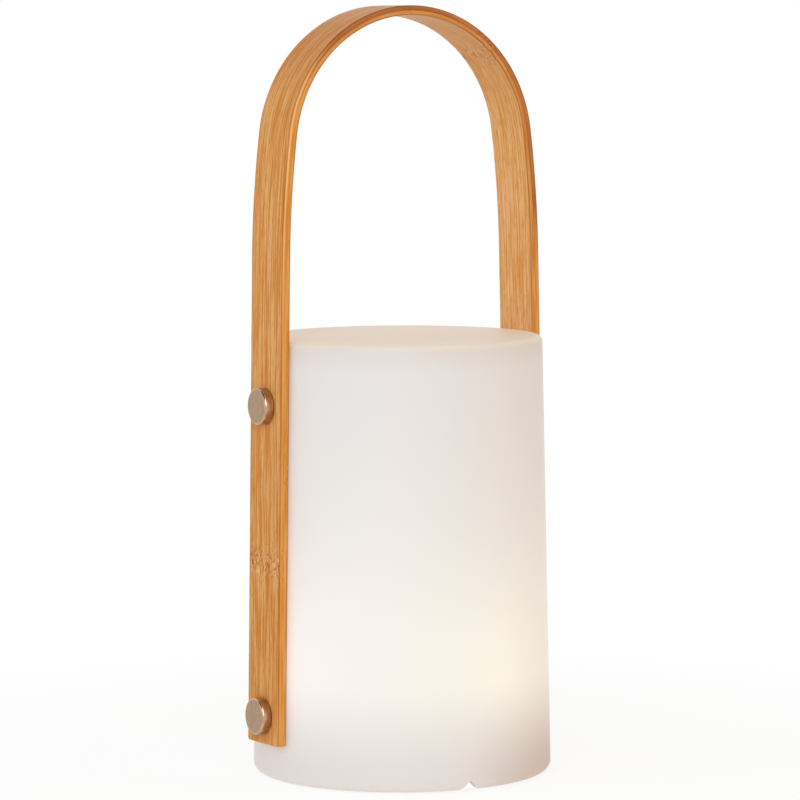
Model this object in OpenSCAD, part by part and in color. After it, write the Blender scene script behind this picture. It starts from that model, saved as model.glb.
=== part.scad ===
// Lantern table lamp: a tapered, translucent shade over a rechargeable light unit,
// carried by one bent bamboo strap that two cap screws a side hold to the wall.
// Millimetres, +Z up. The origin is on the table, under the middle of the shade.
// The handle's legs are at -X and +X. The charging side faces -Y, a few degrees round.

/* [Overall] */
// Height from the table to the top of the handle
overall_h = 400; // [392:1:412]
// How far the rubber feet hold the shade's rim off the table
foot_proud = 1; // [0.6:0.2:2]

/* [Shade] */
// Outer diameter of the shade at its rim
shade_bottom_d = 156; // [156:1:164]
// Outer diameter of the shade at its closed top
shade_top_d = 148; // [146:0.5:152]
// Height of the shade
shade_h = 228; // [220:1:236]
// Thickness of the shade's wall and top
shade_wall = 3; // [2.6:0.1:3.2]
// How far the turned-in lip at the rim reaches in from the outside
lip_reach = 6; // [5.6:0.1:6.4]
// Radius of the rounded edge round the top
top_round = 3.6; // [3.2:0.1:4.5]
// Radius of the rounded edge round the rim
rim_round = 5; // [4:0.2:5.4]

/* [Cable notch] */
// Direction of the notch and the charging socket, seen from above
notch_angle = 265; // [262:1:278]
// Height of the notch
notch_h = 5; // [4.4:0.1:5.2]
// Radius at the top of the notch
notch_top_r = 1.8; // [1.4:0.1:2]
// Slope of the notch's two flanks
notch_slope = 50; // [44:1:54]
// Radius that flares each flank into the rim
notch_flare_r = 5; // [3:0.5:6]

/* [Handle] */
// Width of the bamboo strap
strap_w = 31; // [28:1:34]
// Thickness of the bamboo strap, two plies glued together
strap_t = 5; // [4.4:0.1:5.6]
// How far the strap and its screws sit behind the middle of the shade
strap_back = 3; // [0:0.5:4]
// Height of the strap's two lower ends
strap_end_z = 21; // [18:1:24]
// Height at which the straight legs start to bend
spring_z = 270; // [262:1:276]
// Lean of the strap where the long shallow bend gives way to the crown
haunch_lean = 7.25; // [6.8:0.05:7.8]
// Radius that eases the strap's long edges
strap_edge_r = 0.5; // [0.3:0.1:1]
// Radius of the corners at the strap's lower ends
strap_corner_r = 1.6; // [1:0.1:3]

/* [Cap screws] */
// Diameter of the polished cap
cap_d = 19; // [17:0.5:20]
// Height of the cap above its washer
cap_h = 5; // [4:0.5:6]
// Width of the bevel round the cap's flat face
cap_bevel = 0.8; // [0.5:0.1:1.2]
// Height of the lower pair of cap screws
lower_screw_z = 35.5; // [34:0.5:38]
// Distance from the lower pair to the upper pair
screw_pitch = 160; // [150:1:165]

/* [Power button] */
// Diameter of the button under the base
button_d = 12; // [11:0.5:13]
// How far the button travels when it is pressed
button_travel = 0.5; // [0.3:0.1:0.5]

/* [Light unit] */
// Height of the white housing that holds the cells and the board
unit_h = 30; // [28:1:32]
// Direction of the first of the four light emitters
emitter_angle = 10; // [0:1:45]
// Radius of the circle that the emitters stand on
emitter_ring_r = 43; // [40:1:44]

/* [Hidden] */
$fn = 96;
eps = 0.01;

// Colours
milky_white = [0.95, 0.93, 0.89];
bamboo = [0.80, 0.57, 0.32];
nickel = [0.72, 0.68, 0.64];
steel = [0.66, 0.67, 0.69];
dark_rubber = [0.16, 0.16, 0.17];
soft_white = [0.92, 0.92, 0.90];
board_green = [0.10, 0.36, 0.22];

// Shade: the wall leans in by wall_lean, and its outline runs from rim_z to shade_top_z
rim_z = foot_proud;
shade_top_z = rim_z + shade_h;
shade_r = shade_bottom_d / 2;
wall_lean = atan((shade_bottom_d - shade_top_d) / 2 / shade_h);
function wall_r(z) = shade_r - (z - rim_z) * tan(wall_lean);
// Centre radius of an edge circle that touches the wall, with its centre at height z
function edge_centre_r(z, r, inset = 0) = wall_r(z) - (r + inset) / cos(wall_lean);
inner_round = 2.5;

// Levels and radii of the base, from the rim up
rim_inner_r = shade_r - lip_reach;
lip_z = rim_z + shade_wall;
shelf_inner_r = rim_inner_r - 10;
shelf_t = 3;
tray_recess = 5.5;
tray_t = 2.5;
gasket_t = 1;
tray_z = rim_z + tray_recess;
floor_z = tray_z + tray_t;
shelf_z = floor_z + gasket_t;
shelf_top_z = shelf_z + shelf_t;
tray_r = rim_inner_r - 0.3;
base_screw_r = rim_inner_r - 6;
base_screw_angles = [45, 135, 225, 315];
foot_ring_r = 50;
foot_d = 14;
foot_pocket = 0.8;
base_turn = notch_angle - 270;
base_boss_d = 8;
base_boss_h = 8;
screw_d = 3;
screw_hole_d = 3.3;
pilot_d = 3.1;
screw_head_d = 6;
screw_head_h = 1.5;

// Light unit
cover_wall = 2;
cover_r = shelf_inner_r - 0.5;
cover_top_z = floor_z + unit_h;
spigot_r = cover_r - cover_wall - 0.2;
spigot_wall = 2;
spigot_h = 4;
cover_boss_d = 7;
cover_screw_r = spigot_r - spigot_wall - 0.3 - cover_boss_d / 2;
cover_screw_angles = [0, 90, 180, 245, 295];

// Bay for the charging plug, open downwards, with the socket in its inner end
bay_w = 16;
bay_outer_y = -57;
bay_inner_y = -37;
bay_top_z = 16;
bay_wall = 2;

// Control board, over the button
board_size = [34, 37.5, 1.6];
board_y = -34.9;
board_z = floor_z + 4;
board_screw_at = [[-14, -31.5], [14, -31.5], [-14, -1], [14, -1]];
button_y = -8;
button_gap = 0.3;
switch_size = [6.2, 6.2, 1.8];
switch_well = 1.4;
plunger_d = 3.2;
plunger_z = floor_z + 1.2;
plunger_top_z = board_z - switch_size[2] + switch_well - button_travel - 0.2;
socket_size = [9, 7.4, 3.2];

// Cells lie along X behind the board
cell_d = 18.3;
cell_len = 65;
cell_y = [14.8, 33.5];
cell_z = floor_z + 1.5 + cell_d / 2;
holder_inner_x = 33.2;
holder_wall = 2.3;

// Emitter board
led_board_d = 100;
led_board_t = 1.6;
led_board_z = cover_top_z;
emitter_angles = [for (i = [0:3]) emitter_angle + i * 90];

// Handle: straight leg, long shallow haunch, round crown, in the plane Y = strap_back
shank_d = 5;
shank_hole_d = 5.3;
cap_washer_t = 0.5;
inner_seat = 4.5;
inner_washer_t = 1;
nut_t = 4;
nut_flats = 8;
leg_top_x = wall_r(spring_z);
crown_inner_z = overall_h - strap_t;
bend_rise = sin(haunch_lean) - sin(wall_lean);
bend_run = cos(wall_lean) - cos(haunch_lean);
crown_rise = (1 - sin(haunch_lean)) / cos(haunch_lean);
// The haunch radius that brings the crown's inner face to its height
haunch_r = (crown_inner_z - spring_z - leg_top_x * crown_rise) / (bend_rise - bend_run * crown_rise);
crown_r = (leg_top_x - haunch_r * bend_run) / cos(haunch_lean);
crown_z = crown_inner_z - crown_r;
screw_heights = [lower_screw_z, lower_screw_z + screw_pitch];
// The leg and the crown run into the haunch by lap, and the haunch is a hair thinner,
// so that the three stretches fuse into one strap
lap = 0.3;
lap_inset = 0.01;

// ---------- frames and shared shapes ----------

// Puts children on the middle of a leg's inner face at height z: local +Z points out of the lamp
module on_leg(side, z) {
    rotate([0, 0, side > 0 ? 0 : 180])
        translate([wall_r(z), side * strap_back, z])
            rotate([0, 90 - wall_lean, 0])
                children();
}

module at_each_cap() {
    for (side = [-1, 1], z = screw_heights) on_leg(side, z) children();
}

// Turns the base so that its charging side faces the notch
module base_frame() {
    rotate([0, 0, base_turn]) children();
}

module polar(r, angles) {
    for (a = angles) rotate([0, 0, a]) translate([r, 0, 0]) children();
}

module ring(outer_r, inner_r, h) {
    difference() {
        cylinder(r = outer_r, h = h);
        translate([0, 0, -eps]) cylinder(r = inner_r, h = h + 2 * eps);
    }
}

module block(size, at) {
    translate([at[0] - size[0] / 2, at[1] - size[1] / 2, at[2]]) cube(size);
}

// Outline of a rectangle with round corners, from the origin
module rounded_rect(w, h, r) {
    union() {
        translate([r, 0]) square([w - 2 * r, h]);
        translate([0, r]) square([w, h - 2 * r]);
        for (x = [r, w - r], y = [r, h - r]) translate([x, y]) circle(r = r, $fn = 32);
    }
}

// Flat-head screw with a cross recess, head down, seated in a countersink that starts at z = 0
module flat_head_screw(length) {
    seat = (screw_hole_d - screw_d) / 2 - eps;
    translate([0, 0, seat]) difference() {
        union() {
            cylinder(d1 = screw_head_d, d2 = screw_d, h = screw_head_h, $fn = 48);
            cylinder(d = screw_d, h = length - 1, $fn = 48);
            translate([0, 0, length - 1]) cylinder(d1 = screw_d, d2 = 1, h = 1, $fn = 48);
        }
        for (a = [0, 90]) rotate([0, 0, a]) block([3.2, 0.8, 1.1], [0, 0, -eps]);
    }
}

// Round wire through a list of points, with a slightly larger ball at each bend
module wire(points, d) {
    for (i = [0:len(points) - 2]) {
        step = points[i + 1] - points[i];
        length = norm(step);
        translate(points[i])
            rotate([0, acos(step[2] / length), atan2(step[1], step[0])])
                cylinder(d = d, h = length, $fn = 24);
        if (i > 0) translate(points[i]) sphere(d = 1.2 * d, $fn = 24);
    }
}

// ---------- shade ----------

// Solid outline of the shade, from the axis out: flat top, round edges, leaning wall
module shade_outline() {
    rim_c = [edge_centre_r(rim_z + rim_round, rim_round), rim_z + rim_round];
    top_c = [edge_centre_r(shade_top_z - top_round, top_round), shade_top_z - top_round];
    out = [cos(wall_lean), sin(wall_lean)];
    union() {
        polygon([[0, rim_z], [rim_c[0], rim_z], rim_c + rim_round * out,
                 top_c + top_round * out, [top_c[0], shade_top_z], [0, shade_top_z]]);
        translate(rim_c) circle(r = rim_round);
        translate(top_c) circle(r = top_round);
    }
}

// Hollow of the shade: the mouth inside the lip, then the wall, one thickness all the way up
module shade_hollow() {
    ceiling_z = shade_top_z - shade_wall;
    rim_c = [edge_centre_r(rim_z + rim_round, rim_round), rim_z + rim_round];
    lip_round = rim_round - shade_wall;
    top_c = [edge_centre_r(ceiling_z - inner_round, inner_round, shade_wall), ceiling_z - inner_round];
    out = [cos(wall_lean), sin(wall_lean)];
    union() {
        polygon([[0, rim_z - 1], [rim_inner_r, rim_z - 1], [rim_inner_r, lip_z], [rim_c[0], lip_z],
                 rim_c + lip_round * out, top_c + inner_round * out,
                 [top_c[0], ceiling_z], [0, ceiling_z]]);
        translate(rim_c) circle(r = lip_round);
        translate(top_c) circle(r = inner_round);
    }
}

// Points along an arc of radius r about c, from one direction to another
function arc(c, r, from, to, steps) =
    [for (i = [0:steps]) let (a = from + (to - from) * i / steps) c + r * [cos(a), sin(a)]];

// Outline of the cable notch, looking along the radius with the rim at y = 0: a round top,
// two straight flanks, and a flare where each flank runs into the rim
module notch_outline() {
    peak_y = notch_h - notch_top_r;
    foot_x = notch_top_r * sin(notch_slope)
        + (peak_y + notch_top_r * cos(notch_slope)) / tan(notch_slope);
    flare_x = foot_x + notch_flare_r * tan(notch_slope / 2);
    top = arc([0, peak_y], notch_top_r, 90 - notch_slope, 90, 6);
    flare = arc([flare_x, notch_flare_r], notch_flare_r, 270, 270 - notch_slope, 8);
    half = concat([[flare_x, -2]], flare, top);
    polygon(concat(half, [for (i = [len(half) - 2:-1:0]) [-half[i][0], half[i][1]]]));
}

// What the notch takes away, right through the rim
module notch_cut() {
    base_frame() translate([0, 4 - rim_inner_r, rim_z])
        rotate([90, 0, 0]) linear_extrude(lip_reach + 10) notch_outline();
}

module shade() {
    color(milky_white)
    difference() {
        rotate_extrude($fn = 180)
            difference() { shade_outline(); shade_hollow(); }
        at_each_cap() translate([0, 0, -8]) cylinder(d = shank_hole_d, h = 16);
        notch_cut();
    }
}

// ---------- handle and its screws ----------

// Cross-section of the strap: thickness outwards along X, width centred on Y
module strap_section(inset = 0) {
    translate([inset, inset - strap_w / 2])
        rounded_rect(strap_t - 2 * inset, strap_w - 2 * inset, strap_edge_r);
}

// Straight leg at +X, its lower end cut square with round corners
module strap_leg() {
    length = (spring_z - strap_end_z) / cos(wall_lean);
    translate([leg_top_x, 0, spring_z]) rotate([0, -wall_lean, 0])
        intersection() {
            translate([0, 0, -length]) linear_extrude(length + lap) strap_section();
            translate([-1, 0, -length]) rotate([90, 0, 90]) linear_extrude(strap_t + 2)
                translate([-strap_w / 2, 0]) rounded_rect(strap_w, length + 20, strap_corner_r);
        }
}

// Bend whose inner face has radius r about [x, z], from one lean to another
module strap_bend(r, x, z, from, to, inset = 0) {
    translate([x, 0, z]) rotate([90, 0, 0]) rotate([0, 0, from])
        rotate_extrude(angle = to - from, $fn = 240) translate([r, 0]) strap_section(inset);
}

module handle() {
    haunch_x = leg_top_x - haunch_r * cos(wall_lean);
    haunch_z = spring_z - haunch_r * sin(wall_lean);
    lap_lean = lap / crown_r * 180 / PI;
    color(bamboo)
    difference() {
        translate([0, strap_back, 0]) union() {
            for (m = [0, 1]) mirror([m, 0, 0]) {
                strap_leg();
                strap_bend(haunch_r, haunch_x, haunch_z, wall_lean, haunch_lean, lap_inset);
            }
            strap_bend(crown_r, 0, crown_z, haunch_lean - lap_lean, 180 - haunch_lean + lap_lean);
        }
        at_each_cap() translate([0, 0, -1]) cylinder(d = shank_hole_d, h = strap_t + 2);
    }
}

// Flat brushed face, bevel, straight side, and a shank that reaches the nut
module cap_screws() {
    head_z = strap_t + cap_washer_t;
    shank_end = -(inner_seat + inner_washer_t + nut_t + 1.5);
    color(nickel) at_each_cap() {
        translate([0, 0, head_z]) cylinder(d = cap_d, h = cap_h - cap_bevel);
        translate([0, 0, head_z + cap_h - cap_bevel])
            cylinder(d1 = cap_d, d2 = cap_d - 2 * cap_bevel, h = cap_bevel);
        translate([0, 0, shank_end]) cylinder(d = shank_d, h = head_z - shank_end, $fn = 48);
    }
}

module cap_washers() {
    color(dark_rubber) at_each_cap()
        translate([0, 0, strap_t]) ring(cap_d / 2 - 0.6, shank_hole_d / 2, cap_washer_t);
}

// Washers with a curved outer face that fits the inside of the wall
module saddle_washers() {
    color(soft_white)
    difference() {
        intersection() {
            at_each_cap() translate([0, 0, -inner_seat]) cylinder(d = 14, h = inner_seat);
            rotate_extrude($fn = 180) shade_hollow();
        }
        at_each_cap() translate([0, 0, -inner_seat - 1]) cylinder(d = shank_hole_d, h = inner_seat + 2);
    }
}

module inner_washers() {
    color(steel) at_each_cap()
        translate([0, 0, -inner_seat - inner_washer_t]) ring(6, shank_hole_d / 2, inner_washer_t);
}

module inner_nuts() {
    color(steel) at_each_cap()
        translate([0, 0, -inner_seat - inner_washer_t - nut_t])
            difference() {
                cylinder(d = nut_flats / cos(30), h = nut_t, $fn = 6);
                translate([0, 0, -1]) cylinder(d = shank_d + 0.1, h = nut_t + 2, $fn = 48);
            }
}

// ---------- base ----------

// Ring bonded inside the shade: a skirt that stands on the lip, a shelf for the tray, and bosses
module mounting_ring() {
    ring_r = wall_r(shelf_top_z) - shade_wall - 0.2;
    rib_l = ring_r - base_screw_r - 0.3;
    chamfer = 1.8;
    color(soft_white)
    difference() {
        union() {
            rotate_extrude($fn = 180)
                polygon([[rim_inner_r, lip_z], [ring_r - chamfer, lip_z], [ring_r, lip_z + chamfer],
                         [ring_r, shelf_top_z], [shelf_inner_r, shelf_top_z],
                         [shelf_inner_r, shelf_z], [rim_inner_r, shelf_z]]);
            base_frame() polar(base_screw_r, base_screw_angles) {
                translate([0, 0, shelf_top_z - eps]) cylinder(d = base_boss_d, h = base_boss_h);
                block([rib_l, 2, base_boss_h - 2], [rib_l / 2, 0, shelf_top_z - eps]);
            }
        }
        base_frame() polar(base_screw_r, base_screw_angles)
            translate([0, 0, shelf_z - 1]) cylinder(d = pilot_d, h = base_boss_h + 2, $fn = 48);
        notch_cut();
    }
}

// Underside cover of the lamp, with the plug bay, the button and the spigot for the housing
module base_tray() {
    color(soft_white) base_frame()
    difference() {
        union() {
            translate([0, 0, tray_z]) cylinder(r = tray_r, h = tray_t);
            translate([0, 0, floor_z - eps]) ring(spigot_r, spigot_r - spigot_wall, spigot_h);
            bay_l = bay_inner_y - bay_outer_y + 2 * bay_wall;
            translate([-bay_w / 2 - bay_wall, bay_outer_y - bay_wall + 0.6, tray_z])
                cube([bay_w + 2 * bay_wall, bay_l - 0.6, bay_top_z + bay_wall - tray_z]);
            for (p = board_screw_at) translate([p[0], p[1], floor_z - eps])
                cylinder(d = 5.5, h = board_z - floor_z + eps);
            translate([0, button_y, tray_z - 0.8]) cylinder(d = button_d + 4, h = 0.8 + tray_t);
        }
        // plug bay and the socket's window in its inner end
        translate([-bay_w / 2, bay_outer_y, tray_z - 1])
            cube([bay_w, bay_inner_y - bay_outer_y, bay_top_z - tray_z + 1]);
        translate([-socket_size[0] / 2 - 0.2, bay_inner_y - 1, board_z - socket_size[2] - 0.2])
            cube([socket_size[0] + 0.4, bay_wall + 2, socket_size[2] + 0.2]);
        translate([0, button_y, tray_z - 2]) cylinder(d = button_d + 2 * button_gap, h = tray_t + 4);
        for (p = board_screw_at) translate([p[0], p[1], floor_z + 0.5])
            cylinder(d = 1.7, h = 8, $fn = 32);
        polar(base_screw_r, base_screw_angles) screw_hole();
        polar(cover_screw_r, cover_screw_angles) screw_hole();
        polar(foot_ring_r, base_screw_angles)
            translate([0, 0, tray_z - 1]) cylinder(d = foot_d + 0.2, h = foot_pocket + 1);
    }
}

// Countersunk hole through the tray, from below
module screw_hole() {
    translate([0, 0, tray_z - 1]) cylinder(d = screw_hole_d, h = tray_t + 3, $fn = 48);
    translate([0, 0, tray_z - eps])
        cylinder(d1 = screw_head_d + 0.3, d2 = screw_hole_d, h = screw_head_h, $fn = 48);
}

module base_gasket() {
    color(dark_rubber) base_frame()
    difference() {
        translate([0, 0, floor_z]) ring(rim_inner_r - 0.5, shelf_inner_r + 0.5, gasket_t);
        polar(base_screw_r, base_screw_angles)
            translate([0, 0, floor_z - 1]) cylinder(d = screw_hole_d, h = 3, $fn = 48);
    }
}

module base_screws() {
    color(steel) base_frame() polar(base_screw_r, base_screw_angles)
        translate([0, 0, tray_z]) flat_head_screw(12);
}

// Pads glued into pockets of the tray, a little narrower at the table
module rubber_feet() {
    foot_r = foot_d / 2;
    top_z = tray_z + foot_pocket;
    color(dark_rubber) base_frame() polar(foot_ring_r, base_screw_angles)
        rotate_extrude($fn = 64)
            polygon([[0, 0], [foot_r - 1.2, 0], [foot_r - 0.4, 0.8], [foot_r, tray_z - 0.5],
                     [foot_r, top_z], [0, top_z]]);
}

// Button with a flange that rests on the tray's floor and a dished face below
module power_button() {
    face_z = tray_z - 1.7;
    dish_r = 22;
    color(soft_white) base_frame() translate([0, button_y, 0])
    difference() {
        union() {
            translate([0, 0, face_z + 0.6]) cylinder(d = button_d, h = floor_z - face_z);
            translate([0, 0, face_z]) cylinder(d1 = button_d - 1.2, d2 = button_d, h = 0.6 + eps);
            translate([0, 0, floor_z + 0.05]) cylinder(d = button_d + 3, h = plunger_z - floor_z - 0.05);
        }
        translate([0, 0, face_z + 0.5 - dish_r]) sphere(r = dish_r);
    }
}

module switch_plunger() {
    color(dark_rubber) base_frame()
        translate([0, button_y, plunger_z]) cylinder(d = plunger_d, h = plunger_top_z - plunger_z, $fn = 48);
}

module tact_switch() {
    color(steel) base_frame()
    difference() {
        block(switch_size, [0, button_y, board_z - switch_size[2]]);
        translate([0, button_y, board_z - switch_size[2] - 1])
            cylinder(d = plunger_d + 2 * button_gap, h = switch_well + 1, $fn = 48);
    }
}

module control_board() {
    color(board_green) base_frame()
    difference() {
        block(board_size, [0, board_y + board_size[1] / 2, board_z]);
        for (p = board_screw_at) translate([p[0], p[1], board_z - 1])
            cylinder(d = 2.3, h = 4, $fn = 32);
    }
}

// Connectors, charger chip, inductor and capacitor on the board's upper face
module board_parts() {
    top = board_z + board_size[2];
    color(dark_rubber) base_frame() {
        for (x = [-10, 10]) block([7, 5, 4.5], [x, -10, top]);
        block([7, 7, 1], [4, -22, top]);
        block([5, 4, 1.2], [-5, -26, top]);
        translate([-6, -17, top]) cylinder(d = 7, h = 3.5, $fn = 48);
        translate([11, -26, top]) cylinder(d = 6.3, h = 7, $fn = 48);
    }
}

module board_screws() {
    color(steel) base_frame() for (p = board_screw_at)
        translate([p[0], p[1], board_z + board_size[2]])
            difference() {
                union() {
                    cylinder(d = 3.8, h = 1.3, $fn = 32);
                    translate([0, 0, -5]) cylinder(d = 1.6, h = 5, $fn = 32);
                }
                for (a = [0, 90]) rotate([0, 0, a]) block([2.4, 0.6, 1], [0, 0, 0.6]);
            }
}

// Metal shell with its contact tongue, hung under the board, mouth flush with the bay
module charging_socket() {
    w = socket_size[0];
    h = socket_size[2];
    wall = 0.35;
    color(steel) base_frame()
    translate([-w / 2, bay_inner_y, board_z]) rotate([-90, 0, 0]) {
        linear_extrude(socket_size[1])
            difference() {
                rounded_rect(w, h, h / 2 - eps);
                translate([wall, wall]) rounded_rect(w - 2 * wall, h - 2 * wall, h / 2 - wall - eps);
            }
        translate([0, 0, socket_size[1] - 1]) linear_extrude(1) rounded_rect(w, h, h / 2 - eps);
        translate([1.2, h / 2 - 0.35, 1.5]) cube([w - 2.4, 0.7, socket_size[1] - 2]);
    }
}

// ---------- cells ----------

module battery_holder() {
    outer_x = holder_inner_x + holder_wall;
    low_y = cell_y[0] - cell_d / 2 - 1.6;
    high_y = cell_y[1] + cell_d / 2 + 1.6;
    color(dark_rubber) base_frame()
    difference() {
        translate([-outer_x, low_y, floor_z]) cube([2 * outer_x, high_y - low_y, cell_z - floor_z]);
        for (y = cell_y) translate([-holder_inner_x, y, cell_z]) rotate([0, 90, 0])
            cylinder(d = cell_d + 0.1, h = 2 * holder_inner_x);
    }
}

module battery_cells() {
    color([0.20, 0.42, 0.60]) base_frame()
    for (i = [0, 1]) translate([0, cell_y[i], cell_z]) rotate([0, i == 0 ? 90 : -90, 0]) {
        translate([0, 0, -cell_len / 2]) cylinder(d = cell_d, h = cell_len - 1.2);
        translate([0, 0, cell_len / 2 - 1.2 - eps]) cylinder(d = 6.5, h = 1.2 + eps, $fn = 48);
    }
}

// Contact plates that stand in the holder's ends
module battery_tabs() {
    color(steel) base_frame()
    for (side = [-1, 1], y = cell_y)
        translate([side * (cell_len / 2 + 0.35) - 0.3, y - 4, cell_z - 5]) cube([0.6, 8, 13]);
}

// Cell leads, from the outer faces of the plates over the board to its right-hand connector
module battery_leads() {
    d = 1.6;
    plug = [10, -10, board_z + board_size[2] + 4.5];
    x = cell_len / 2 + 0.65 + d / 2;
    y = cell_y[0] + 3;
    z = cell_z + 7;
    color([0.70, 0.12, 0.10]) base_frame() {
        wire([[x, y, z], [x, 2, z], [16, -6, z - 3], plug + [1.5, 0, 3], plug + [1.5, 0, 0]], d);
        wire([[-x, y, z], [-x, 2, z], [0, -6, z - 3], plug + [-1.5, 0, 3], plug + [-1.5, 0, 0]], d);
    }
}

// ---------- light unit ----------

// White reflecting housing over the cells: a cup turned down over the tray's spigot
module unit_cover() {
    edge_r = 3;
    color(soft_white) base_frame()
    difference() {
        union() {
            rotate_extrude($fn = 128)
                difference() {
                    union() {
                        translate([0, floor_z]) square([cover_r, unit_h - edge_r]);
                        translate([0, floor_z]) square([cover_r - edge_r, unit_h]);
                        translate([cover_r - edge_r, cover_top_z - edge_r]) circle(r = edge_r);
                    }
                    translate([0, floor_z - 1]) square([cover_r - cover_wall, unit_h + 1 - cover_wall]);
                }
            // screw bosses, each tied to the wall by a rib above the tray's spigot
            polar(cover_screw_r, cover_screw_angles) {
                translate([0, 0, floor_z]) cylinder(d = cover_boss_d, h = unit_h - 1);
                block([7, 1.6, unit_h - spigot_h - 3], [3.5, 0, floor_z + spigot_h + 2]);
            }
            polar(20, [30, 150, 270])
                translate([0, 0, cover_top_z - 8]) cylinder(d = 6, h = 7);
        }
        polar(cover_screw_r, cover_screw_angles)
            translate([0, 0, floor_z - 1]) cylinder(d = pilot_d, h = 12, $fn = 48);
        polar(20, [30, 150, 270])
            translate([0, 0, cover_top_z - 7]) cylinder(d = 2.6, h = 9, $fn = 32);
        translate([0, 0, cover_top_z - 5]) cylinder(d = 8, h = 10, $fn = 48);
    }
}

module cover_screws() {
    color(steel) base_frame() polar(cover_screw_r, cover_screw_angles)
        translate([0, 0, tray_z]) flat_head_screw(11);
}

module led_board() {
    color(soft_white) base_frame()
    difference() {
        translate([0, 0, led_board_z]) cylinder(d = led_board_d, h = led_board_t);
        translate([0, 0, led_board_z - 1]) cylinder(d = 6, h = led_board_t + 2, $fn = 48);
        polar(20, [30, 150, 270])
            translate([0, 0, led_board_z - 1]) cylinder(d = 2.8, h = led_board_t + 2, $fn = 32);
    }
}

module led_board_screws() {
    color(steel) base_frame() polar(20, [30, 150, 270])
        translate([0, 0, led_board_z + led_board_t])
            difference() {
                union() {
                    cylinder(d = 4.6, h = 1.6, $fn = 32);
                    translate([0, 0, -7]) cylinder(d = 2.5, h = 7, $fn = 32);
                }
                for (a = [0, 90]) rotate([0, 0, a]) block([2.8, 0.7, 1.1], [0, 0, 0.7]);
            }
}

// Four emitters in absolute directions, a quarter turn apart
module led_emitters() {
    color([0.95, 0.85, 0.35]) polar(emitter_ring_r, emitter_angles)
        block([5, 5, 1], [0, 0, led_board_z + led_board_t]);
}

// Low domes that spread each emitter's light towards the wall
module led_lenses() {
    lens_r = 7;
    lens_h = 4.5;
    cap_r = (lens_r * lens_r + lens_h * lens_h) / (2 * lens_h);
    color([0.85, 0.90, 0.95]) polar(emitter_ring_r, emitter_angles)
        translate([0, 0, led_board_z + led_board_t])
            difference() {
                intersection() {
                    cylinder(r = lens_r, h = lens_h + 1);
                    translate([0, 0, lens_h - cap_r]) sphere(r = cap_r);
                }
                translate([0, 0, -1]) cylinder(r = 4, h = 3, $fn = 48);
            }
}

// Lamp leads, from the board's left-hand connector up through the housing to the emitter board
module led_leads() {
    plug = [-10, -10, board_z + board_size[2] + 4.5];
    pad_z = led_board_z + led_board_t + 0.8;
    color([0.75, 0.75, 0.72]) base_frame() for (s = [-1, 1])
        wire([plug + [s * 1.5, 0, 0], plug + [s * 1.5, 0, 5], [s * 1.2, 0, cover_top_z - 8],
              [s * 1.2, 0, pad_z + 1.5], [s * 1.2, 5, pad_z]], 1.6);
}

shade();
handle();
cap_screws();
cap_washers();
saddle_washers();
inner_washers();
inner_nuts();
mounting_ring();
base_tray();
base_gasket();
base_screws();
rubber_feet();
power_button();
switch_plunger();
tact_switch();
control_board();
board_parts();
board_screws();
charging_socket();
battery_holder();
battery_cells();
battery_tabs();
battery_leads();
unit_cover();
cover_screws();
led_board();
led_board_screws();
led_emitters();
led_lenses();
led_leads();
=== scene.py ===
# %% [markdown]
# # A lantern table lamp
# The lamp is a milky plastic shade, closed at the top and lit from inside, with one bent bamboo strap
# over it as a handle. Two nickel cap screws on each side clamp the strap to the shade. Everything that
# carries, moves or fits is already measured in the frame, so this lesson only loads it and works on
# what the eye sees: the strap's grain, the polish of the caps, the glow of the plastic.

# %% Load the frame
import math

import bmesh
import bpy
from mathutils import Matrix, Vector


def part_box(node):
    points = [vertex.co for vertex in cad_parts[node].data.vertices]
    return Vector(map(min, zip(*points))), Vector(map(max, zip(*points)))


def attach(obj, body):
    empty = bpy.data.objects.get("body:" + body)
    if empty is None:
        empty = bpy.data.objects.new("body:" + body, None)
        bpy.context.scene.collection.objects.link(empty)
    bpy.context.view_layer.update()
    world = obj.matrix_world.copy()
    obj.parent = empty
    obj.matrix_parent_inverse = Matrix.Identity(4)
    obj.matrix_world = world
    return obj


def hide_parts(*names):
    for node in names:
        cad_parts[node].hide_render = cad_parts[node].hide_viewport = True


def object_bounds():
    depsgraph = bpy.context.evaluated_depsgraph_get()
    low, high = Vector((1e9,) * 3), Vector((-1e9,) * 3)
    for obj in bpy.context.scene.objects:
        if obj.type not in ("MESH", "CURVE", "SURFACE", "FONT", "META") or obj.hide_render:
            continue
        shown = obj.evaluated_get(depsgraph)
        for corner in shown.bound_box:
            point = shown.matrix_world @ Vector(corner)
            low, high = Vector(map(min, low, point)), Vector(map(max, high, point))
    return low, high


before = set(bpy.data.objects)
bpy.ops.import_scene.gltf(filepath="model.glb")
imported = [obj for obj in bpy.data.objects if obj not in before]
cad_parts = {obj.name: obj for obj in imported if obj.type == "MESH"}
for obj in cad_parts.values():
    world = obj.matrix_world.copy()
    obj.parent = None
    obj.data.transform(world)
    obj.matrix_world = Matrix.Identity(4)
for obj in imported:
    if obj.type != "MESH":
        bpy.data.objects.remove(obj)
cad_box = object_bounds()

MM = 0.001
lamp_height = cad_box[1].z
print("the lamp is", round(lamp_height / MM), "mm high and has", len(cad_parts), "pieces")

# %% [markdown]
# ## Camera
# A product picture is usually taken from far off with a long lens, so that upright lines stay nearly
# parallel. The camera could be placed by eye, but a lens this long forgives nothing. So its place is
# given as a turn round the lamp, a distance and a height, and its aim as three small angles. The
# focal length is given in picture pixels: it is to the picture's width as the lens is to the sensor.

# %% Camera
picture_px = 800
focal_px = 4292.4
sensor_mm = 36
camera_turn = math.radians(31.759)
camera_distance = 2.2307
camera_height = 0.3921
aim_yaw, aim_pitch, aim_roll = (math.radians(angle) for angle in (-0.008, -5.050, -0.253))

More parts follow.
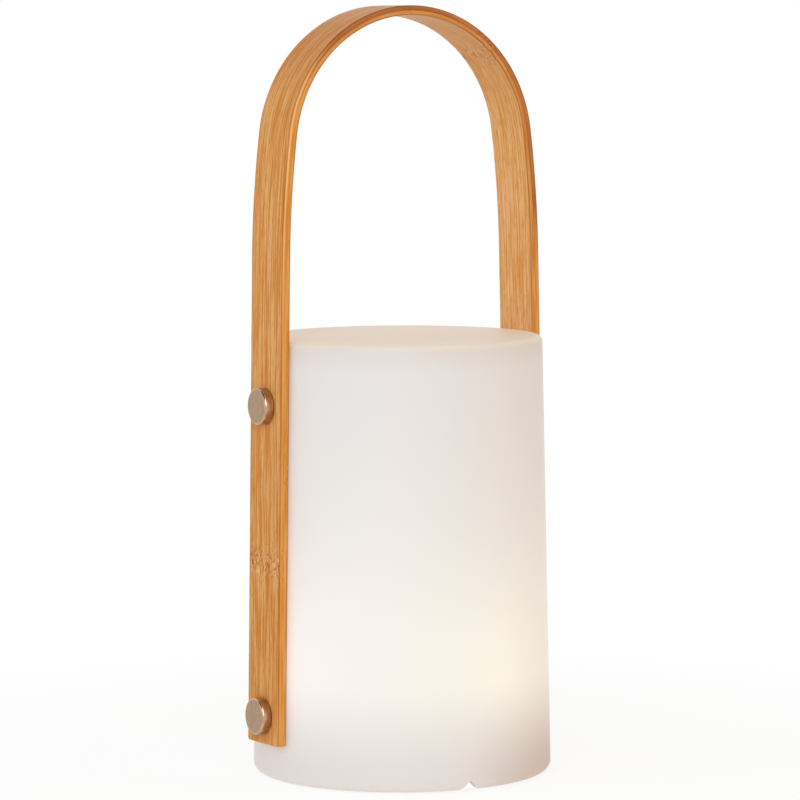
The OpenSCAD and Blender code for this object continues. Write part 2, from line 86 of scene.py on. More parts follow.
heading = camera_turn + aim_yaw
forward = Vector((math.sin(heading) * math.cos(aim_pitch),
                  math.cos(heading) * math.cos(aim_pitch),
                  math.sin(aim_pitch)))
level_right = forward.cross(Vector((0, 0, 1))).normalized()
level_up = level_right.cross(forward)
right = level_right * math.cos(aim_roll) + level_up * math.sin(aim_roll)
up = level_up * math.cos(aim_roll) - level_right * math.sin(aim_roll)

lens = bpy.data.cameras.new("camera")
lens.sensor_width = sensor_mm
lens.lens = focal_px / picture_px * sensor_mm
camera = bpy.data.objects.new("camera", lens)
camera_place = Vector((-camera_distance * math.sin(camera_turn),
                       -camera_distance * math.cos(camera_turn), camera_height))
camera.matrix_world = (Matrix.Translation(camera_place)
                       @ Matrix((right, up, -forward)).transposed().to_4x4())
bpy.context.scene.collection.objects.link(camera)
bpy.context.scene.camera = camera
bpy.context.scene.view_settings.view_transform = "Standard"
print("lens", round(lens.lens), "mm, camera at", [round(c, 3) for c in camera_place])

# %% [markdown]
# ## Building finishes from nodes
# A finish is a small network: coordinates go in, patterns are worked out, and a shader comes out. It
# could be wired by hand in the editor. Here one short class adds a node per call and hands back its
# output, so that a finish reads from top to bottom like a recipe. Colours are written as they look on
# a screen, from 0 to 255, and turned into the linear values that the renderer wants.

# %% Colours
def tone(red, green, blue):
    """A screen colour, 0 to 255, as a linear RGBA colour."""
    def linear(value):
        share = value / 255
        return share / 12.92 if share < 0.04045 else ((share + 0.055) / 1.055) ** 2.4
    return (linear(red), linear(green), linear(blue), 1.0)


print("a middle grey, 128 on a screen, is", round(tone(128, 128, 128)[0], 3), "in linear light")


# %% Nodes
class Finish:
    """The nodes of a material or a world. Each call adds one node and returns its output."""

    def __init__(self, owner):
        owner.use_nodes = True
        self.owner = owner
        self.tree = owner.node_tree
        self.tree.nodes.clear()

    def node(self, kind, inputs, output=0, **settings):
        """inputs gives each socket a value or another node's output. settings are the node's options."""
        made = self.tree.nodes.new("ShaderNode" + kind)
        for name, value in settings.items():
            setattr(made, name, value)
        for socket, value in inputs.items():
            if isinstance(value, bpy.types.NodeSocket):
                self.tree.links.new(value, made.inputs[socket])
            else:
                made.inputs[socket].default_value = value
        return made.outputs[output] if len(made.outputs) else made

    def maths(self, operation, a, b=0.0, c=0.0):
        return self.node("Math", {0: a, 1: b, 2: c}, operation=operation)

    def place(self):
        """Where a point is on the object at rest, in metres."""
        return self.node("TexCoord", {}, output="Object")

    def split(self, vector):
        made = self.node("SeparateXYZ", {0: vector}).node
        return made.outputs[0], made.outputs[1], made.outputs[2]

    def join(self, x, y, z):
        return self.node("CombineXYZ", {0: x, 1: y, 2: z})

    def scaled(self, vector, *scale):
        """Larger scales make a pattern finer along that axis."""
        return self.node("Mapping", {"Vector": vector, "Scale": scale}, vector_type="POINT")

    def noise(self, vector, scale=1.0, detail=2.0, roughness=0.5):
        return self.node("TexNoise", {"Vector": vector, "Scale": scale, "Detail": detail,
                                      "Roughness": roughness})

    def ramp(self, value, low, high, to_low=0.0, to_high=1.0):
        """value from low to high becomes to_low to to_high, smoothly and no further."""
        return self.node("MapRange", {0: value, 1: low, 2: high, 3: to_low, 4: to_high},
                         interpolation_type="SMOOTHSTEP")

    def mix(self, share, a, b, blend="MIX"):
        return self.node("Mix", {0: share, 6: a, 7: b}, output=2, data_type="RGBA", blend_type=blend)

    def bump(self, height, distance, strength=1.0):
        return self.node("Bump", {"Height": height, "Distance": distance, "Strength": strength})

    def done(self, **sockets):
        """Ends the recipe with the main shader and returns the material."""
        inputs = {name.replace("_", " "): value for name, value in sockets.items()}
        shader = self.node("BsdfPrincipled", inputs)
        self.node("OutputMaterial", {"Surface": shader})
        return self.owner


def new_finish(name):
    return Finish(bpy.data.materials.new(name))


print("the finish kit is ready")

# %% [markdown]
# ## A white page round the lamp
# A lamp like this is sold on a white page. In a studio that is a pale sweep under large, soft lights.
# Turning the lights up until the floor burns out would bleach the lamp as well. So the lights stay at
# a plain level, and the floor and the world show white only to the eye, to mirrors and through glass.

# %% World
WHITE = (1, 1, 1, 1)
world_level = 0.45


def white_where_seen(finish):
    """1 for rays from the camera, from gloss and through glass, and 0 for the rays that light things."""
    path = finish.node("LightPath", {}).node
    gloss = finish.maths("MAXIMUM", path.outputs["Is Glossy Ray"], path.outputs["Is Transmission Ray"])
    return finish.maths("MAXIMUM", path.outputs["Is Camera Ray"], gloss)


sky = Finish(bpy.data.worlds.new("studio"))
bpy.context.scene.world = sky.owner
room = sky.node("Background", {"Color": WHITE, "Strength": world_level})
page = sky.node("Background", {"Color": WHITE, "Strength": 1.0})
seen = sky.node("MixShader", {0: white_where_seen(sky), 1: room, 2: page})
sky.node("OutputWorld", {"Surface": seen})
print("the world lights the lamp at", world_level, "and looks white")

# %% [markdown]
# ## Floor
# The real lamp stands on paper. One big square would do, but then nothing could be seen from below. So
# the floor is a flat ring, open under the lamp like a glass table with a hole in its paper, and clear
# from below. It is spun from one straight edge, and its faces are turned up. Near the lamp a part of
# its tone comes from the lights, which keeps the shadow, and further out it is plain white.

# %% Floor ring
floor_radius = 6.0
well_radius = 66 * MM
floor_steps = 64

ring = bmesh.new()
ends = [ring.verts.new((well_radius, 0, 0)), ring.verts.new((floor_radius, 0, 0))]
bmesh.ops.spin(ring, geom=ends + [ring.edges.new(ends)], cent=(0, 0, 0), axis=(0, 0, 1),
               angle=2 * math.pi, steps=floor_steps, use_merge=True)
ring.normal_update()
bmesh.ops.reverse_faces(ring, faces=[face for face in ring.faces if face.normal.z < 0])
floor_mesh = bpy.data.meshes.new("floor")
ring.to_mesh(floor_mesh)
ring.free()
floor = bpy.data.objects.new("floor", floor_mesh)
bpy.context.scene.collection.objects.link(floor)
print("floor", 2 * floor_radius, "m across, faces up:", all(p.normal.z > 0 for p in floor_mesh.polygons))

# %% Floor paper
shadow_start, shadow_end = 0.125, 0.5
lit_share = 0.13

paper = new_finish("pale_floor")
distance = paper.node("VectorMath", {0: paper.place()}, output="Value", operation="LENGTH")
whiteness = paper.ramp(distance, shadow_start, shadow_end, 1 - lit_share, 1.0)
lit_paper = paper.node("BsdfDiffuse", {"Color": tone(250, 249, 247)})
white_paper = paper.node("Emission", {"Color": WHITE, "Strength": 1.0})
white_share = paper.maths("MULTIPLY", whiteness, white_where_seen(paper))
pale = paper.node("MixShader", {0: white_share, 1: lit_paper, 2: white_paper})
from_below = paper.node("NewGeometry", {}, output="Backfacing")
one_sided = paper.node("MixShader", {0: from_below, 1: pale, 2: paper.node("BsdfTransparent", {})})
paper.node("OutputMaterial", {"Surface": one_sided})
floor_mesh.materials.append(paper.owner)
print("the shadow fades out", shadow_end, "m from the lamp's middle")

# %% [markdown]
# ## Soft lights
# A pale lamp wants soft light from all round, a little warmer from the right. One strong light would
# give hard shadows. Four square panels, each more than a metre wide, give soft ones: a cool key and
# side, a warm one opposite, and a weak one from above and behind.

# %% Panels
def facing_lamp(turn, elevation, away):
    """The place of a light or card that faces the lamp's middle. Turn and elevation are in degrees."""
    flat, lift = math.radians(turn), math.radians(elevation)
    offset = Vector((math.cos(lift) * math.cos(flat), math.cos(lift) * math.sin(flat), math.sin(lift)))
    middle = Vector((0, 0, lamp_height / 2))
    return (Matrix.Translation(middle + away * offset)
            @ offset.to_track_quat("Z", "Y").to_matrix().to_4x4())


def soft_light(name, turn, elevation, away, size, watts, colour):
    panel = bpy.data.lights.new(name, "AREA")
    panel.size = size
    panel.energy = watts
    panel.color = colour[:3]
    light = bpy.data.objects.new(name, panel)
    light.matrix_world = facing_lamp(turn, elevation, away)
    bpy.context.scene.collection.objects.link(light)
    print(name, watts, "W,", size, "m wide,", away, "m away")


soft_light("key_panel", 235, 26, 2.2, 1.6, 27, tone(243, 251, 255))
soft_light("side_panel", 168, 22, 2.3, 1.4, 9, tone(243, 251, 255))
soft_light("warm_panel", 318, 18, 2.3, 1.4, 9, tone(255, 196, 89))
soft_light("top_panel", 60, 65, 2.2, 1.4, 5, tone(255, 250, 244))

# %% [markdown]
# ## A dark card for the metal
# In a white room polished metal mirrors white all over and looks like paper. A photographer hangs a
# black card beside the lamp, and its reflection draws a dark line along every rounded edge. The same
# card hangs here, and only gloss rays see it, so that it throws no shadow and dims nothing.

# %% Dark card
card_size = 1.3

sheet = bmesh.new()
bmesh.ops.create_grid(sheet, x_segments=1, y_segments=1, size=card_size / 2)
card_mesh = bpy.data.meshes.new("dark_card")
sheet.to_mesh(card_mesh)
sheet.free()
card = bpy.data.objects.new("dark_card", card_mesh)
card.matrix_world = facing_lamp(180, 48, 1.1)
for ray in ("camera", "diffuse", "transmission", "shadow"):
    setattr(card, "visible_" + ray, False)
bpy.context.scene.collection.objects.link(card)
card_mesh.materials.append(new_finish("black_card").done(Base_Color=tone(12, 12, 12), Roughness=1.0))
print("the card is seen by gloss rays only:", card.visible_glossy and not card.visible_camera)

# %% [markdown]
# ## From a mesh to a piece
# Every new piece ends the same way: its faces are turned outwards, it becomes an object that sits at
# the origin with its place in its mesh, it rides on the lamp's body, and it says which measured node
# it stands for and which finish it takes. A measured node that is right as it is only gets a finish.

# %% Finishing a piece
doubles_reach = 0.001 * MM
flat_face_weight = 80


def merged(bm):
    """Closes seams and poles, then points all faces outwards."""
    bmesh.ops.remove_doubles(bm, verts=bm.verts, dist=doubles_reach)
    bmesh.ops.recalc_face_normals(bm, faces=bm.faces)


def lamp_piece(name, bm, finish, replaces):
    for face in bm.faces:
        face.smooth = True
    mesh = bpy.data.meshes.new(name)
    bm.to_mesh(mesh)
    bm.free()
    mesh.materials.append(finish)
    piece = bpy.data.objects.new(name, mesh)
    bpy.context.scene.collection.objects.link(piece)
    weigh = piece.modifiers.new("even_normals", "WEIGHTED_NORMAL")
    weigh.weight = flat_face_weight
    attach(piece, "lamp")
    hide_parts(replaces)
    print(name, "stands for", replaces, "and has", len(mesh.polygons), "faces")


def dress(finish, *nodes):
    """Gives measured nodes a finish and leaves their meshes alone."""
    for name in nodes:
        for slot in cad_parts[name].material_slots:
            slot.material = finish
    print(finish.name, "on", ", ".join(nodes))


print("piece helpers are ready")

# %% [markdown]
# ## The shade's plastic
# The real shade is moulded in milky polyethylene, 3 mm thick, and four emitters stand on a board near
# its foot. Light could be traced through the wall from real lamps, but that is slow and noisy, and a
# model that leaves this file would lose it. So the wall glows by itself, by rules that follow the
# parts inside. The rules need two coordinates: the height, and the turn round the lamp.

# %% Height and turn
emitter_turn = math.radians(10)
cells_turn = math.radians(-38)
shade_low, shade_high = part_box("shade")

milk = new_finish("milky_plastic")
milk_place = milk.place()
x, y, z = milk.split(milk_place)
turn = milk.maths("ARCTAN2", y, x)

# %% [markdown]
# ### Glow by height
# Light thins out on its way up, so the glow fades from a bright warm white to a darker one. Down at the
# foot the base stands behind the wall and hides the emitters. Toward the cells' side the foot is painted
# darker and browner still: painted shade.

# %% Fade and foot
fade_start, fade_end = 70 * MM, 235 * MM
base_hides_up_to = 60 * MM
cells_edge = 0.45        # cosine of the turn at which the cells' shadow ends

low_down = milk.ramp(z, fade_start, fade_end, 1.0, 0.0)
glow = milk.mix(low_down, tone(139, 123, 115), tone(163, 149, 136))
facing_cells = milk.maths("COSINE", milk.maths("SUBTRACT", turn, cells_turn))
# painted shade: toward the cells the foot's glow turns darker and browner
cells_side_shade = milk.ramp(facing_cells, cells_edge, 1.0)
foot_glow = milk.mix(cells_side_shade, tone(139, 120, 111), tone(110, 62, 26))
glow = milk.mix(milk.ramp(z, 0.0, base_hides_up_to, 1.0, 0.0), glow, foot_glow)
print("the glow fades between", round(fade_start / MM), "and", round(fade_end / MM), "mm")

# %% [markdown]
# ### Bright spots
# Each of the four emitters lights a wide spot on the wall in front of it, with a small bright core.
# The cosine of four times the turn has a peak at every quarter, which is where they stand. Real
# emitters never match, and here two are whiter than the other two: that is a cosine of twice the turn.

# %% Spots and cores
spot_low, spot_middle, spot_high = 13 * MM, 58 * MM, 148 * MM
core_low, core_high = (30 * MM, 58 * MM), (62 * MM, 100 * MM)
core_sharpness = 10.0

from_first = milk.maths("SUBTRACT", turn, emitter_turn)
quarters = milk.maths("COSINE", milk.maths("MULTIPLY", from_first, 4))
halves = milk.maths("COSINE", milk.maths("MULTIPLY", from_first, 2))
facing = milk.maths("MULTIPLY_ADD", quarters, 0.25, 0.75)
spot_height = milk.maths("MULTIPLY", milk.ramp(z, spot_middle, spot_high, 1.0, 0.0),
                         milk.ramp(z, spot_low, spot_middle))
whiter = milk.maths("MULTIPLY_ADD", halves, 0.5, 0.5)
spot_tone = milk.mix(whiter, tone(86, 88, 68), tone(84, 80, 84))
glow = milk.mix(milk.maths("MULTIPLY", facing, spot_height), glow, spot_tone, "ADD")
core_height = milk.maths("MULTIPLY", milk.ramp(z, *core_low), milk.ramp(z, *core_high, 1.0, 0.0))
core = milk.maths("MULTIPLY", milk.maths("POWER", facing, core_sharpness), core_height)
glow = milk.mix(core, glow, tone(38, 37, 31), "ADD")
print("the spots are brightest", round(spot_middle / MM), "mm up")

# %% [markdown]
# ### Foot, rim and lid
# At the very foot the glow is brighter: painted light, as if bounced up from the bright floor. Near the
# top, where the wall runs into the corner of the lid, it is darker and browner: painted shade. The lid
# itself glows less, and its base colour is made warmer: a painted tint that stands in for warm light
# from the strap above it.

# %% Ends of the shade
lip_low, lip_high = 1 * MM, 7 * MM
corner_start, corner_end, corner_share = 16 * MM, 4 * MM, 0.6
lid_start, lid_end = 3 * MM, 1 * MM

# painted light at the very foot, as if bounced up from the floor
glow = milk.mix(milk.ramp(z, lip_low, lip_high, 1.0, 0.0), glow, tone(76, 74, 62), "ADD")
# painted shade in a band where the wall turns into the lid
corner = milk.ramp(z, shade_high.z - corner_start, shade_high.z - corner_end, 0.0, corner_share)
glow = milk.mix(corner, glow, tone(130, 96, 74))
lid = milk.ramp(z, shade_high.z - lid_start, shade_high.z - lid_end)
glow = milk.mix(lid, glow, tone(128, 106, 86))
print("the lid starts", round(lid_start / MM), "mm below the shade's top")

# %% [markdown]
# ### Surface
# The mould gives the plastic a fine satin grain and leaves it very slightly wavy, which breaks up the
# reflections of the panels. Both are noise in the lamp's own coordinates, so they stay put in any view.

# %% Plastic surface
milk_grain = milk.noise(milk.scaled(milk_place, 900, 900, 900), detail=3)
milk_wave = milk.noise(milk.scaled(milk_place, 22, 22, 22), detail=1)
milk_height = milk.maths("MULTIPLY_ADD", milk_wave, 12.0, milk_grain)
# the lid's warmer base colour is a painted tint standing in for warm light from the strap above
dress(milk.done(
    Base_Color=milk.mix(lid, tone(182, 184, 185), tone(198, 192, 184)),
    Roughness=milk.ramp(milk_grain, 0.3, 0.7, 0.44, 0.54), Specular_IOR_Level=0.3,
    Emission_Color=glow, Emission_Strength=1.0, Normal=milk.bump(milk_height, 0.03 * MM, 0.5)), "shade")

# %% [markdown]
# ## The strap: a strip, then a bend
# The real strap is two plies of bamboo, glued flat and then bent round a form. It could be extruded
# round the bend at once, but the grain has to follow the strip. So it is made as it is made: a straight
# strip with eased edges, whose points remember where they lay on it, and which is then bent. The path
# is a straight leg, a long shallow haunch and a round crown, each touching the next without a kink.

# %% The strap's path
strap_low, strap_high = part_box("handle")
strap_t, strap_w = 5 * MM, strap_high.y - strap_low.y
strap_back = (strap_low.y + strap_high.y) / 2
shade_h, shade_r, shade_top_r = 228 * MM, 78 * MM, 74 * MM
spring_z = 270 * MM
wall_lean = math.atan((shade_r - shade_top_r) / shade_h)
haunch_lean = math.radians(7.25)

spring_x = shade_r - (spring_z - shade_low.z) * math.tan(wall_lean)
crown_inner_z = strap_high.z - strap_t
bend_rise = math.sin(haunch_lean) - math.sin(wall_lean)
bend_run = math.cos(wall_lean) - math.cos(haunch_lean)
crown_rise = (1 - math.sin(haunch_lean)) / math.cos(haunch_lean)
haunch_r = (crown_inner_z - spring_z - spring_x * crown_rise) / (bend_rise - bend_run * crown_rise)
crown_r = (spring_x - haunch_r * bend_run) / math.cos(haunch_lean)
crown_z = crown_inner_z - crown_r

crown_len = crown_r * (math.pi / 2 - haunch_lean)
haunch_len = haunch_r * (haunch_lean - wall_lean)
leg_len = (spring_z - strap_low.z) / math.cos(wall_lean)
half_len = crown_len + haunch_len + leg_len
print("crown radius", round(crown_r / MM, 1), "haunch radius", round(haunch_r / MM, 1),
      "strip", round(2 * half_len / MM), "mm long")


def on_path(along, out):
    """The point at a distance along the strip from the crown's middle, and out from its inner face."""
    side = 1 if along >= 0 else -1
    left = abs(along)
    if left <= crown_len:
        lean = math.pi / 2 - left / crown_r
        centre, radius, drop = Vector((0, 0, crown_z)), crown_r, 0.0
    else:
        lean = max(wall_lean, haunch_lean - (left - crown_len) / haunch_r)
        centre = Vector((spring_x - haunch_r * math.cos(wall_lean), 0,
                         spring_z - haunch_r * math.sin(wall_lean)))
        radius, drop = haunch_r, max(0.0, left - crown_len - haunch_len)
    normal = Vector((math.cos(lean), 0, math.sin(lean)))
    down = Vector((math.sin(lean), 0, -math.cos(lean)))
    point = centre + normal * (radius + out) + down * drop
    return Vector((side * point.x, 0, point.z))


# %% A straight strip
edge_ease = 0.5 * MM
corner_ease = 1.6 * MM

strip = bmesh.new()
bmesh.ops.create_cube(strip, size=1.0)
bmesh.ops.scale(strip, vec=(2 * half_len, strap_w, strap_t), verts=strip.verts)
bmesh.ops.translate(strip, vec=(0, 0, strap_t / 2), verts=strip.verts)
corners = [e for e in strip.edges if abs(e.verts[0].co.z - e.verts[1].co.z) > 0.5 * strap_t]
bmesh.ops.bevel(strip, geom=corners, affect="EDGES", offset=corner_ease, segments=6, profile=0.5,
                material=-1)
rims = [e for e in strip.edges if abs(e.verts[0].co.z - e.verts[1].co.z) < 0.1 * strap_t
        and len({round(f.normal.z) for f in e.link_faces}) == 2]
bmesh.ops.bevel(strip, geom=rims, affect="EDGES", offset=edge_ease, segments=4, profile=0.5,
                material=-1)
print("eased", len(corners), "corners and", len(rims), "edges of the strip")

# %% Cuts across the strip, and the bend
bend_step = math.radians(2)
crown_cuts = int(crown_len / (crown_r * bend_step))
haunch_cuts, leg_cuts = 8, 12
cut_reach = 0.01 * MM

cuts = [crown_len * i / crown_cuts for i in range(-crown_cuts, crown_cuts + 1)]
cuts += [side * (crown_len + haunch_len * i / haunch_cuts)
         for side in (-1, 1) for i in range(1, haunch_cuts + 1)]
cuts += [side * (crown_len + haunch_len + leg_len * i / leg_cuts)
         for side in (-1, 1) for i in range(1, leg_cuts)]
for cut in cuts:
    bmesh.ops.bisect_plane(strip, geom=strip.verts[:] + strip.edges[:] + strip.faces[:],
                           dist=cut_reach, plane_co=(cut, 0, 0), plane_no=(1, 0, 0))
grain_layer = strip.verts.layers.float_vector.new("grain")
for vert in strip.verts:
    vert[grain_layer] = vert.co
    bent = on_path(vert.co.x, vert.co.z)
    vert.co = Vector((bent.x, vert.co.y + strap_back, bent.z))
merged(strip)
print("strap", len(strip.faces), "faces, top at", round(max(v.co.z for v in strip.verts) / MM, 2), "mm")

# %% [markdown]
# ## Bamboo
# Split bamboo shows straight, parallel fibres, a millimetre or less wide, and every 30 cm or so a node,
# where the fibres wander and leave short dark dashes. Plain wood rings would be wrong here. The pattern
# is drawn in the strip's own coordinates, which its points kept from before the bend: along it, across
# it and up through its thickness. The first thing the finish needs is how near a point is to a node.
# The two plies come from different canes, so their nodes lie at different places.

# %% Strip coordinates and nodes
outer_nodes = (-0.320, 0.050, 0.385)
inner_nodes = (-0.275, 0.055, 0.400)

wood = new_finish("bamboo")
along, across, depth = wood.split(wood.node("Attribute", {}, output="Vector", attribute_name="grain"))
from_crown = wood.maths("ABSOLUTE", along)
off_middle = wood.maths("ABSOLUTE", across)
outer = wood.ramp(depth, 0.49 * strap_t, 0.51 * strap_t)


def near_node(places, reach):
    """1 at each node of a ply, fading to 0 at a distance along the strip."""
    bands = [wood.ramp(wood.maths("ABSOLUTE", wood.maths("SUBTRACT", along, spot)),
                       0.2 * reach, reach, 1.0, 0.0) for spot in places]
    return wood.maths("MAXIMUM", wood.maths("MAXIMUM", bands[0], bands[1]), bands[2])


def node_band(reach):
    """The same, for whichever ply a point is on."""
    inside, outside = near_node(inner_nodes, reach), near_node(outer_nodes, reach)
    return wood.maths("MULTIPLY_ADD", wood.maths("SUBTRACT", outside, inside), outer, inside)


print("the outer ply has nodes", [round(spot / MM) for spot in outer_nodes], "mm from the crown's middle")

# %% [markdown]
# ### Fibres
# Noise that is stretched far along the strip and fine across it gives fibres. Near a node it is pushed
# aside by a second noise, so that the fibres wander there. Three widths of it are used: streaks, broad
# strips of another tone, and pores that are finer than a hair.

# %% Fibres
wander_reach, wander_push = 17 * MM, 7.0 * MM
streak_scale = (26, 860, 860)

wander = wood.noise(wood.join(wood.maths("MULTIPLY", along, 210), wood.maths("MULTIPLY", across, 330),
                              outer), detail=2)
shift = wood.maths("MULTIPLY", wood.maths("SUBTRACT", wander, 0.5),
                   wood.maths("MULTIPLY", node_band(wander_reach), wander_push))
fibre = wood.join(along, wood.maths("ADD", across, shift), wood.maths("MULTIPLY_ADD", outer, 3.0, depth))
streak = wood.noise(wood.scaled(fibre, *streak_scale), detail=4, roughness=0.62)
strip_tone = wood.noise(wood.scaled(fibre, 8, 190, 190), detail=2)
pore = wood.noise(wood.scaled(fibre, 150, 2400, 2400), detail=1)
print("streaks are", round(streak_scale[1] / streak_scale[0]), "times as long as they are wide")

# %% [markdown]
# ### Inner and outer face
# The outer face has taken more light and is a deeper brown. Both faces are painted darker over the
# crown: painted shade on its top, where less light falls, and under it, where the inner face looks
# down. The pores are darkest of all.

# %% Faces
bright = wood.ramp(streak, 0.38, 0.62)
outer_face = wood.mix(bright, tone(197, 116, 28), tone(222, 169, 108))
inner_face = wood.mix(bright, tone(217, 146, 60), tone(241, 194, 142))
colour = wood.mix(outer, inner_face, outer_face)
colour = wood.mix(wood.ramp(strip_tone, 0.35, 0.65, 0.0, 0.25), colour, tone(214, 146, 60))
arch = wood.ramp(from_crown, 0.5 * crown_len, 1.6 * crown_len, 1.0, 0.0)
# painted shade on the inner face under the crown
under_crown_shade = wood.maths("MULTIPLY", arch, wood.maths("SUBTRACT", 1.0, outer))
colour = wood.mix(wood.maths("MULTIPLY", under_crown_shade, 0.45), colour, tone(206, 144, 64))
arch_top = wood.ramp(from_crown, 0.3 * crown_len, 1.1 * crown_len, 1.0, 0.0)
# painted shade on the top of the crown
crown_top_shade = wood.maths("MULTIPLY", arch_top, outer)
colour = wood.mix(wood.maths("MULTIPLY", crown_top_shade, 0.45), colour, tone(176, 104, 40))
colour = wood.mix(wood.ramp(pore, 0.56, 0.68, 0.0, 0.50), colour, tone(160, 86, 16))
print("the crown's own tone fades out", round(1.6 * crown_len / MM), "mm from its middle")

# %% [markdown]
# ### Dashes at the nodes
# At a node the bundles of fibre cross each other, which shows as short dark and light dashes. They are
# the two ends of one more noise, a few millimetres long, shown in a narrow band round each node.

# %% Dashes
dash_reach = 9 * MM

dash = wood.noise(wood.scaled(fibre, 260, 1000, 1000), detail=2)
tight = wood.maths("MULTIPLY", node_band(dash_reach), wood.maths("MULTIPLY_ADD", outer, 0.5, 0.5))
dark_dash = wood.maths("MULTIPLY", wood.ramp(dash, 0.54, 0.60), tight)
light_dash = wood.maths("MULTIPLY", wood.ramp(dash, 0.36, 0.44, 1.0, 0.0), tight)
colour = wood.mix(wood.maths("MULTIPLY", dark_dash, 0.80), colour, tone(158, 84, 22))
colour = wood.mix(wood.maths("MULTIPLY", light_dash, 0.65), colour, tone(238, 190, 140))
print("dashes reach", round(dash_reach / MM), "mm to each side of a node")

# %% [markdown]
# ### The side of the strap
# On the crown the side shows both plies, the outer one darker, and a thin line of glue between them.
# Down the legs lacquer covers the joint, and a painted highlight runs along the side as a thin line,
# brightest on the haunch. The back edge gets painted shade from the wall, and the outer corner is painted
# a darker brown: painted shade where the rounded corner turns away from the light.

# %% Plies
on_side = wood.ramp(off_middle, 0.5 * strap_w - 0.5 * MM, 0.5 * strap_w - 0.2 * MM)
crown = wood.maths("MULTIPLY", wood.ramp(along, -0.9 * crown_len, -0.4 * crown_len),
                   wood.ramp(along, 1.3 * crown_len, 1.9 * crown_len, 1.0, 0.0))
off_crown = wood.maths("SUBTRACT", 1.0, crown)
side_bright = wood.ramp(streak, 0.36, 0.64)
leg_side = wood.mix(side_bright, tone(194, 118, 42), tone(218, 152, 80))
outer_ply = wood.mix(side_bright, tone(146, 80, 36), tone(178, 110, 60))
inner_ply = wood.mix(side_bright, tone(182, 108, 44), tone(204, 136, 72))
side_tone = wood.mix(crown, leg_side, wood.mix(outer, inner_ply, outer_ply))
colour = wood.mix(wood.maths("MULTIPLY", on_side, 0.90), colour, side_tone)
print("the side is", round(strap_t / MM, 1), "mm thick")


# %% Lines on the side
def side_line(at, reach):
    """1 along a thin line that lies on the side at a depth, 0 away from it."""
    away = wood.maths("ABSOLUTE", wood.maths("SUBTRACT", depth, at))
    return wood.maths("MULTIPLY", wood.ramp(away, 0.2 * reach, reach, 1.0, 0.0), on_side)


glue = wood.maths("MULTIPLY", side_line(0.5 * strap_t, 0.4 * MM), crown)
colour = wood.mix(wood.maths("MULTIPLY", glue, 0.60), colour, tone(128, 66, 22))
# painted highlight: a thin bright line along the side of the legs
painted_highlight = wood.maths("MULTIPLY", side_line(0.78 * strap_t, 0.8 * MM), off_crown)
haunch = wood.ramp(from_crown, 1.0 * crown_len, 2.4 * crown_len, 1.0, 0.0)
highlight_tone = wood.mix(haunch, tone(230, 150, 62), tone(246, 198, 138))
colour = wood.mix(wood.maths("MULTIPLY", painted_highlight, 0.60), colour, highlight_tone)
# painted shade along the back edge, next to the wall
shaded_back = wood.maths("MULTIPLY", side_line(0.0, 1.0 * MM), 0.55)
colour = wood.mix(shaded_back, colour, tone(140, 80, 32))
# painted shade on the outer corner, where it turns away from the light
outer_corner_shade = wood.maths("MULTIPLY", wood.ramp(depth, strap_t - 0.8 * MM, strap_t - 0.2 * MM),
                    wood.ramp(off_middle, 0.5 * strap_w - 0.8 * MM, 0.5 * strap_w - 0.3 * MM))
outer_corner_shade = wood.maths("MULTIPLY", outer_corner_shade, wood.maths("MULTIPLY_ADD", crown, 0.40, 0.50))
colour = wood.mix(outer_corner_shade, colour, tone(138, 76, 28))
print("the glue line is", round(0.5 * strap_t / MM, 1), "mm deep in the side")

# %% [markdown]
# ### Lacquer
# The strap has a thin satin lacquer that sinks into the grain. So the fibres and pores still make it
# slightly uneven, the dark dashes lie a little deeper, and it shines less than bare plastic would.

# %% Lacquer, and the strap as a piece
wood_height = wood.maths("MULTIPLY_ADD", dark_dash, -0.8, wood.maths("ADD", streak, pore))
bamboo = wood.done(Base_Color=colour, Roughness=wood.ramp(streak, 0.3, 0.7, 0.46, 0.38),
                   Specular_IOR_Level=0.12, Normal=wood.bump(wood_height, 0.06 * MM, 0.5))
lamp_piece("bamboo_strap", strip, bamboo, "handle")

# %% [markdown]
# ## Cap screws
# Each cap is turned from a rod: a flat face brushed fine, a rounded edge and a polished side. The frame
# has a plain bevel at that edge, and a bevel mirrors only one patch of the room. So a cap is drawn as
# half an outline and spun round its axis. Then the ring at its face is rounded by a millimetre, where
# it catches both light and dark, and the ring at its back by a quarter of that.

# %% One turned cap
cap_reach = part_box("cap_screws")[1].x
cap_d, cap_h, washer_t = 19 * MM, 5 * MM, 0.5 * MM
face_round, back_round = 1.0 * MM, 0.25 * MM
shank_d, shank_depth = 5 * MM, 11 * MM
same_place = 0.01 * MM


def turned(outline, steps, eases):
    """Spins an outline of (radius, height) points round Z, then eases the rings that eases names."""
    bm = bmesh.new()
    points = [bm.verts.new((radius, 0, height)) for radius, height in outline]
    lines = [bm.edges.new(pair) for pair in zip(points, points[1:])]
    bmesh.ops.spin(bm, geom=points + lines, cent=(0, 0, 0), axis=(0, 0, 1), angle=2 * math.pi,
                   steps=steps, use_merge=True)
    merged(bm)
    for (radius, height), ease, segments in eases:
        ring_edges = [e for e in bm.edges if all(abs(v.co.xy.length - radius) < same_place
                                                 and abs(v.co.z - height) < same_place for v in e.verts)]
        bmesh.ops.bevel(bm, geom=ring_edges, affect="EDGES", offset=ease, segments=segments, profile=0.5,
                        material=-1)
    return bm


